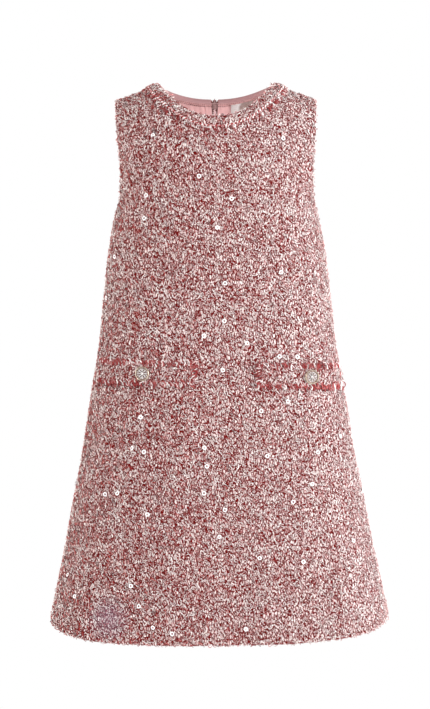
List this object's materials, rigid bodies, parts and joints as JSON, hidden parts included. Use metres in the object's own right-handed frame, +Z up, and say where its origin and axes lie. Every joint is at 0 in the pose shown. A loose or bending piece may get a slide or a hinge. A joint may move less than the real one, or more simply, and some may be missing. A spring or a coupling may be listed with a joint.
{
  "type": "shift dress",
  "caption": "Child's sleeveless shift dress in looped tweed, filled out as worn, with a round neck, frayed pocket flaps, crystal buttons and a back zip.",
  "frame": {"origin": "midway between the two high shoulder points of the neck edge, level with them, where the wearer's shoulders carry the dress", "axes": "+Z up along the body; the front faces -Y; +X is the wearer's left"},
  "size_m": [0.3694, 0.2531, 0.5897],
  "materials": {
    "tweed": "dusty pink looped tweed with dark red, rose and white yarns, rough and matt",
    "tweed_trim": "the same tweed frayed to deep rose strands, rough and matt",
    "satin": "smooth dusty pink satin with a soft sheen",
    "zip_tape": "dusty pink woven zip tape and coil, satin matt",
    "zip_metal": "pale metal, softly polished",
    "button_metal": "pale champagne metal, polished",
    "crystal": "clear faceted crystal",
    "label": "plain pale grey woven label, bare"
  },
  "bodies": {
    "dress": {"front": "tweed", "back_left": "tweed", "back_right": "tweed", "neck_trim": "tweed_trim", "neck_trim_fringe": "tweed_trim", "flap_left": "tweed", "flap_left_fringe": "tweed_trim", "flap_right": "tweed", "flap_right_fringe": "tweed_trim", "button_left": "button_metal", "button_left_stones": "crystal", "button_right": "button_metal", "button_right_stones": "crystal", "neck_facing_left": "satin", "neck_facing_right": "satin", "neck_binding_left": "satin", "neck_binding_right": "satin", "label": "label", "zip_tape_left": "zip_tape", "zip_tape_right": "zip_tape", "zip_chain": "zip_tape", "zip_slider": "zip_metal"},
    "zip_pull": {"zip_pull": "zip_metal"}
  },
  "joints": [
    {"name": "zip_pull_swing", "type": "hinge", "parent": "dress", "child": "zip_pull", "pos_m": [0, 0.05072, -0.01431], "axis": [1, 0, 0], "range_deg": [0, 150]}
  ]
}
